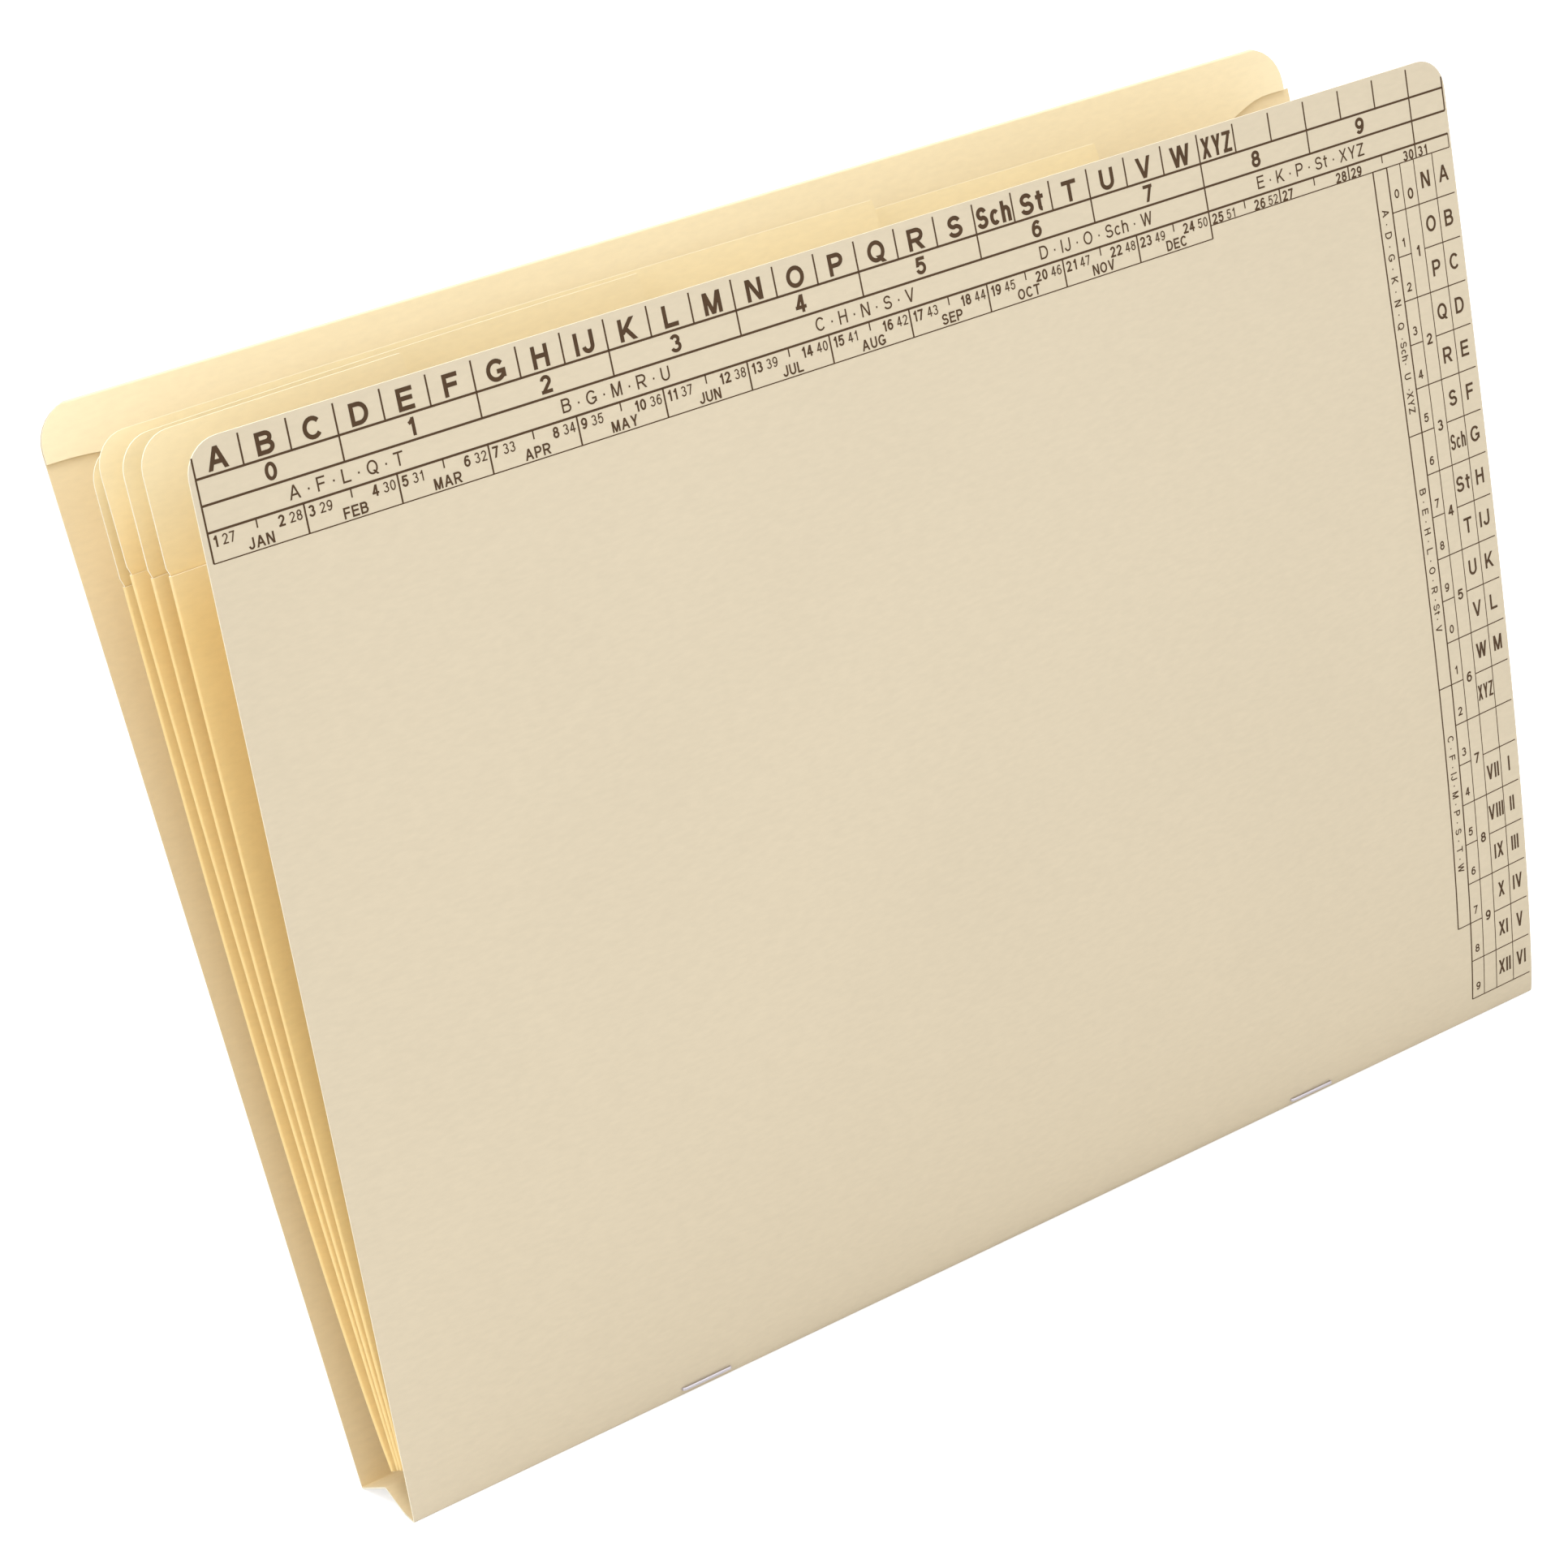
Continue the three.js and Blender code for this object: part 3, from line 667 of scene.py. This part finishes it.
def stroke(bar, width, weight):
    """One stroke's two edges: its middle line, and half its thickness square to it, or
    level for a slanting stroke so that its ends are cut level."""
    kind, rest = bar[0], bar[1:]
    inset_x = lambda v: weight / 2 + np.asarray(v, float) * width
    inset_y = lambda v: weight / 2 + np.asarray(v, float) * (1 - weight)
    if kind == "V":
        x, low, high = rest
        if low == high:
            low, high = low - weight * 0.55, high + weight * 0.55
        line = np.array([[inset_x(x), low], [inset_x(x), high]])
        half = np.array([[weight / 2, 0.0]] * 2)
    elif kind == "H":
        y, left, right = rest
        full = width + weight
        line = np.array([[left * full, inset_y(y)], [right * full, inset_y(y)]])
        half = np.array([[0.0, weight / 2]] * 2)
    elif kind == "D":
        ax, ay, bx, by = rest
        line = np.array([[inset_x(ax), ay], [inset_x(bx), by]])
        leg = line[1] - line[0]
        half = np.array([[weight / 2 * np.linalg.norm(leg) / abs(leg[1]), 0.0]] * 2)
    else:
        line = np.stack([inset_x(rest[0][:, 0]), inset_y(rest[0][:, 1])], axis=-1)
        leg = np.gradient(line, axis=0)
        if np.allclose(line[0], line[-1]):
            leg[0] = leg[-1] = line[1] - line[-2]
        leg /= np.linalg.norm(leg, axis=1, keepdims=True)
        half = np.stack([-leg[:, 1], leg[:, 0]], axis=-1) * weight / 2
    return np.stack([line + half, line - half])


def word(text, weight, narrow, gap=0.17):
    """A word's strokes side by side, capitals one high, with its whole width."""
    strokes, place = [], 0.0
    for mark in text:
        width, bars = LETTERS[mark]
        wide = width * narrow
        for bar in bars:
            strokes.append(stroke(bar, wide * SET_WIDTH, weight) + (place, 0.0))
        place += wide * SET_WIDTH + weight + gap * narrow
    return strokes, place - gap * narrow


def lettered(text, u, v, cap, weight=BOLD, narrow=1.0, turned=False, align=0.5):
    """A word on a grid place, with the given height of capitals in mm. align is the share
    of the word that lies left of the place; turned words read downwards."""
    strokes, width = word(text, weight, narrow)
    for layer, edges in enumerate(strokes):
        x = (edges[..., 0] - width * align) * cap
        y = (edges[..., 1] - 0.5) * cap
        if turned:
            x, y = y, -x
        points = on_front(cell_x(u) + x, cell_up(v) + y, 0.003 * layer).reshape(-1, 3)
        ids = np.arange(len(points)).reshape(2, -1)
        faces = quads(ids)
        a, b, c = (points[faces[0]][k] for k in (0, 1, 2))
        if np.cross(b - a, c - a)[1] > 0:
            faces = faces[:, ::-1]
        letter_parts.append((points, faces))


ROW_1, ROW_2, ROW_3, ROW_4, STRIP = 0.0, 0.513, 1.028, 1.617, 1.335
THIN = 0.26
for v in (ROW_1, ROW_2, ROW_3):
    ruled(0, v, 31, v, 0.52)
ruled(0, ROW_4, 24, ROW_4, THIN)
ruled(24, STRIP, 31, STRIP, THIN)
ruled(0, -0.41, 0, ROW_4)
ruled(31, -0.24, 31, ROW_2)
for u in range(1, 31):
    ruled(u, -0.62, u, ROW_1)
for u in range(3, 31, 3):
    ruled(u, ROW_1, u, ROW_2)
ruled(24, ROW_2, 24, ROW_4)
ruled(30, ROW_2, 30, ROW_3)
for u in range(2, 24, 2):
    ruled(u, ROW_3, u, ROW_4)
for u in range(1, 24, 2):
    ruled(u, ROW_3, u, ROW_3 + 0.18, 0.34)
for u in (25, 27, 29):
    ruled(u, ROW_3, u, ROW_3 + 0.18, 0.34)
for u in (26, 28, 30):
    ruled(u, ROW_3, u, STRIP)
ruled(31, ROW_3, 31, STRIP, THIN)

ALPHABET = ("A B C D E F G H IJ K L M N O P Q R S Sch St T U V W XYZ").split()
for u, text in enumerate(ALPHABET):
    narrow = {1: 1.0, 2: 0.92, 3: 0.72}[len(text)]
    if text == "XYZ":
        narrow = 0.58
    lettered(text, u + 0.5, -0.29, 5.0, 0.17 if text == "XYZ" else BOLD, narrow)
for n in range(10):
    lettered(str(n), 1.5 + 3 * n, 0.257, 4.0)
GROUPS = ("A F L Q T", "B G M R U", "C H N S V", "D IJ O Sch W", "E K P St XYZ")
for n, text in enumerate(GROUPS):
    items = text.split()
    wide = np.array([word(item, LIGHT, 0.95)[1] * 3.1 / CELL for item in items])
    starts = np.concatenate([[0], np.cumsum(wide + 0.355)[:-1]])
    starts += 2.98 + 6 * n - (starts[-1] + wide[-1]) / 2
    for item, start, width in zip(items, starts, wide):
        lettered(item, start, 0.768, 3.1, LIGHT, 0.95, align=0.0)
        if item != items[-1]:
            lettered("·", start + width + 0.178, 0.768, 3.1, LIGHT)


def dated(first, second, u, right_hand):
    """A bold number and a light one beside it, set against a separator at u."""
    margin, gap, v, narrow = 0.07, 0.1, 1.213, 0.88
    bold_cap, light_cap = 2.5, 2.3
    bold_wide = word(first, FIGURE, narrow)[1] * bold_cap / CELL
    light_wide = word(second, LIGHT, narrow)[1] * light_cap / CELL if second else -gap
    start = u - margin - bold_wide - gap - light_wide if right_hand else u + margin
    lettered(first, start, v, bold_cap, FIGURE, narrow, align=0.0)
    if second:
        lettered(second, start + bold_wide + gap, v, light_cap, LIGHT, narrow, align=0.0)


MONTHS = ("JAN", "FEB", "MAR", "APR", "MAY", "JUN", "JUL", "AUG", "SEP", "OCT", "NOV", "DEC")
for n, month in enumerate(MONTHS):
    u = 2 * n
    dated(str(u + 1), str(u + 27), u, False)
    dated(str(u + 2), str(u + 28), u + 2, True)
    lettered(month, u + 1.02, 1.46, 2.5, 0.17, 0.86)
dated("25", "51", 24, False)
dated("26", "52", 26, True)
for first, u, right_hand in (("27", 26, False), ("28", 28, True), ("29", 28, False),
                             ("30", 30, True), ("31", 30, False)):
    dated(first, "", u, right_hand)

COLUMNS = (28.69, 29.10, 29.49, 29.90, 30.46)
STRIP_TICK = 1.352
ruled(COLUMNS[0], STRIP, COLUMNS[0], 19.352)
ruled(COLUMNS[1], STRIP, COLUMNS[1], 21.352)
ruled(COLUMNS[0], STRIP, COLUMNS[1], STRIP, 0.32)
for u in COLUMNS[2:]:
    ruled(u, STRIP, u, 21.352, THIN)
for v in (7.352, 13.352, 19.352):
    ruled(COLUMNS[0], v, COLUMNS[1], v, 0.28)
for n in range(1, 21):
    v = STRIP_TICK + n
    if n % 2 and n < 20 or n == 20:
        ruled(COLUMNS[1], v, 31, v, 0.28)
    else:
        ruled(COLUMNS[1], v, COLUMNS[2], v, 0.28)
        ruled(COLUMNS[3], v, 31, v, 0.28)
right = ("A B C D E F G H IJ K L M").split()
middle = ("N O P Q R S Sch St T U V W XYZ").split()
roman = ("I II III IV V VI VII VIII IX X XI XII").split()
for n, text in enumerate(right):
    lettered(text, 30.73, 1.85 + n, 4.1, SEMIBOLD, {"M": 0.8}.get(text, 0.85))
for n, text in enumerate(middle):
    squeeze = {"Sch": 0.48, "XYZ": 0.42, "W": 0.78}.get(text, 0.85)
    lettered(text, 30.18, 1.85 + n, 4.1, SEMIBOLD if len(text) < 3 else LIGHT, squeeze)
for n, text in enumerate(roman):
    lettered(text, 30.73 if n < 6 else 30.18, 15.85 + n % 6, 4.1, MEDIUM, 0.62)
lettered("0", 29.695, 2.05, 2.8, FIGURE)
for n in range(1, 10):
    lettered(str(n), 29.695, STRIP_TICK + 2 * n, 2.8, FIGURE)
for n in range(20):
    lettered(str(n % 10), 29.295, 1.96 if n == 0 else 2.062 + n, 2.3, 0.17)
STACKS = (
    ("A D G K N Q Sch U XYZ", (2.3, 2.8, 3.3, 3.81, 4.33, 4.85, 5.42, 6.0, 6.6)),
    ("B E H L O R St V", 8.68 + 0.464 * np.arange(8)),
    ("C F IJ M P S T W", 14.62 + 0.461 * np.arange(8)),
)
for text, places in STACKS:
    for item, v in zip(text.split(), places):
        lettered(item, 28.895, v, 2.2, MEDIUM, 0.9, turned=True)
    for a, b in zip(places[:-1], places[1:]):
        lettered("·", 28.895, (a + b) / 2, 2.2, MEDIUM, turned=True)


def printed(name, parts):
    first = 0
    points, faces = [], []
    for p, f in parts:
        points.append(p)
        faces.append(f + first)
        first += len(p)
    piece = put_mesh(name, np.concatenate(points), np.concatenate(faces), None, (ink,))
    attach(piece, "root")
    return piece


index_lines = printed("index_lines", line_parts)
index_letters = printed("index_letters", letter_parts)


# Floor, light, camera
def plain_floor():
    """A wide white floor: plain diffuse, a little brighter to the camera."""
    size = 6.0
    corners = np.array([[-size, -size, 0], [size, -size, 0], [size, size, 0], [-size, size, 0]])
    material = bpy.data.materials.new("studio_floor")
    material.use_nodes = True
    nodes, links = material.node_tree.nodes, material.node_tree.links
    shader = nodes["Principled BSDF"]
    shader.inputs["Base Color"].default_value = (0.9, 0.9, 0.9, 1)
    shader.inputs["Roughness"].default_value = 0.9
    shader.inputs["Specular IOR Level"].default_value = 0.0
    path = nodes.new("ShaderNodeLightPath")
    lift = nodes.new("ShaderNodeMath")
    lift.operation = "MULTIPLY"
    lift.inputs[1].default_value = 0.6
    shader.inputs["Emission Color"].default_value = (1, 1, 1, 1)
    links.new(path.outputs["Is Camera Ray"], lift.inputs[0])
    links.new(lift.outputs["Value"], shader.inputs["Emission Strength"])
    floor = put_mesh("studio_floor", corners, np.array([[0, 1, 2, 3]]), None, (material,))


def world_light():
    """Even white surroundings, pure white where the camera sees them."""
    world = bpy.data.worlds.new("studio_world")
    bpy.context.scene.world = world
    world.use_nodes = True
    nodes, links = world.node_tree.nodes, world.node_tree.links
    nodes.clear()
    out = nodes.new("ShaderNodeOutputWorld")
    soft = nodes.new("ShaderNodeBackground")
    soft.inputs["Strength"].default_value = 0.62
    seen = nodes.new("ShaderNodeBackground")
    seen.inputs["Color"].default_value = (1, 1, 1, 1)
    seen.inputs["Strength"].default_value = 1.0
    soft.inputs["Color"].default_value = (1, 1, 1, 1)
    path = nodes.new("ShaderNodeLightPath")
    more = nodes.new("ShaderNodeMath")
    more.operation = "MAXIMUM"
    both = nodes.new("ShaderNodeMixShader")
    links.new(path.outputs["Is Camera Ray"], more.inputs[0])
    links.new(path.outputs["Is Glossy Ray"], more.inputs[1])
    links.new(more.outputs["Value"], both.inputs["Fac"])
    links.new(soft.outputs["Background"], both.inputs[1])
    links.new(seen.outputs["Background"], both.inputs[2])
    links.new(both.outputs["Shader"], out.inputs["Surface"])


def soft_lamp(name, place, target, size, power):
    light = bpy.data.lights.new(name, "AREA")
    light.shape = "SQUARE"
    light.size = size
    light.energy = power
    lamp = bpy.data.objects.new(name, light)
    bpy.context.scene.collection.objects.link(lamp)
    back = np.array(place, float) - np.array(target, float)
    z = back / np.linalg.norm(back)
    x = np.cross((0, 0, 1), z)
    x /= np.linalg.norm(x)
    y = np.cross(z, x)
    turn = Matrix(np.column_stack([x, y, z]).tolist()).to_4x4()
    turn.translation = place
    lamp.matrix_world = turn


plain_floor()
world_light()
soft_lamp("overhead_softbox", (-0.25, -0.15, 1.5), (0, 0, 0.12), 1.2, 17.0)
soft_lamp("front_softbox", (0.75, -1.7, 0.8), (0, 0, 0.12), 1.2, 8.5)
soft_lamp("side_softbox", (-1.5, -0.9, 0.5), (0, 0, 0.12), 1.2, 5.5)

camera_data = bpy.data.cameras.new("camera")
camera_data.sensor_width = 36.0
camera_data.lens = 92.259
camera_data.clip_start = 0.05
camera_data.clip_end = 30.0
camera = bpy.data.objects.new("camera", camera_data)
bpy.context.scene.collection.objects.link(camera)
CAMERA_RIGHT = (0.809416, -0.561780, -0.171024)
CAMERA_UP = (0.316983, 0.172811, 0.932555)
CAMERA_FORWARD = (0.494336, 0.809036, -0.317950)
CAMERA_PLACE = (-0.501886, -0.761791, 0.428377)
axes = np.column_stack([CAMERA_RIGHT, CAMERA_UP, -np.array(CAMERA_FORWARD)])
pose = Matrix(axes.tolist()).to_4x4()
pose.translation = CAMERA_PLACE
camera.matrix_world = pose
bpy.context.scene.camera = camera
bpy.context.scene.view_settings.view_transform = "Standard"
